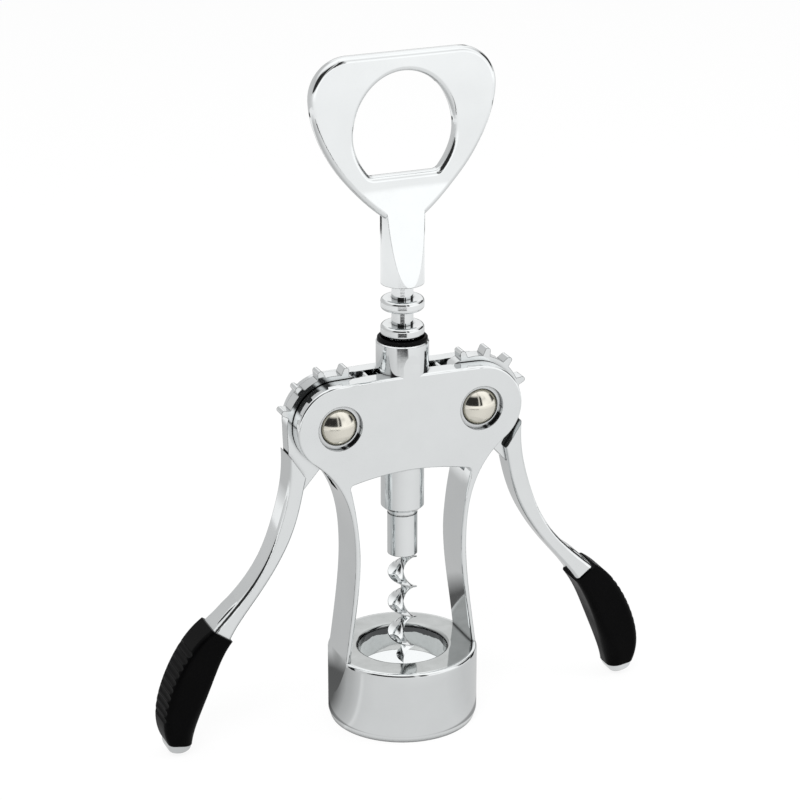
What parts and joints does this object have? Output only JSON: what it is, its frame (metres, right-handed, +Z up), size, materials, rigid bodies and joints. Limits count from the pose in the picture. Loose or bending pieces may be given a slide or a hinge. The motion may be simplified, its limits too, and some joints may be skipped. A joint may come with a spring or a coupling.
{
  "type": "wing corkscrew",
  "caption": "Wing corkscrew: bell frame, two geared levers with soft grips, ringed rack, worm and a handle that lifts crown caps.",
  "frame": {"origin": "centre of the bell's foot, on the plane it stands on", "axes": "+Z up along the spindle, X across the two levers, Y from front to back"},
  "size_m": [0.12, 0.035, 0.1597],
  "materials": {
    "chrome_casting": "polished chrome plate on a die casting",
    "chrome_steel": "polished chrome plate on turned steel",
    "nickel_rivet": "bright nickel plate, slightly warm",
    "black_nylon": "smooth, semi-matt",
    "soft_grip": "matt soft-touch moulding"
  },
  "bodies": {
    "frame": {"frame_casting": "chrome_casting", "left_rivet_tube": "nickel_rivet", "left_rivet_pin": "nickel_rivet", "right_rivet_tube": "nickel_rivet", "right_rivet_pin": "nickel_rivet"},
    "guide_bush": {"guide_bush": "black_nylon"},
    "spindle": {"opener_handle": "chrome_casting", "rack": "chrome_steel", "worm": "chrome_steel"},
    "left_lever": {"left_lever": "chrome_casting", "left_grip": "soft_grip"},
    "right_lever": {"right_lever": "chrome_casting", "right_grip": "soft_grip"}
  },
  "joints": [
    {"name": "handle_spin", "type": "hinge", "parent": "frame", "child": "guide_bush", "pos_m": [0, 0, 0.0932], "axis": [0, 0, 1], "continuous": true},
    {"name": "rack_slide", "type": "slide", "parent": "guide_bush", "child": "spindle", "axis": [0, 0, 1], "range_m": [-0.027, 0]},
    {"name": "left_lever_hinge", "type": "hinge", "parent": "frame", "child": "left_lever", "pos_m": [-0.01725, 0, 0.07595], "axis": [0, 1, 0], "range_deg": [0, 123.8]},
    {"name": "right_lever_hinge", "type": "hinge", "parent": "frame", "child": "right_lever", "pos_m": [0.01725, 0, 0.07595], "axis": [0, 1, 0], "range_deg": [-123.8, 0]}
  ],
  "couplings": [
    {"joint": "left_lever_hinge", "follows": "rack_slide", "rad_per_m": -80},
    {"joint": "right_lever_hinge", "follows": "rack_slide", "rad_per_m": 80}
  ]
}
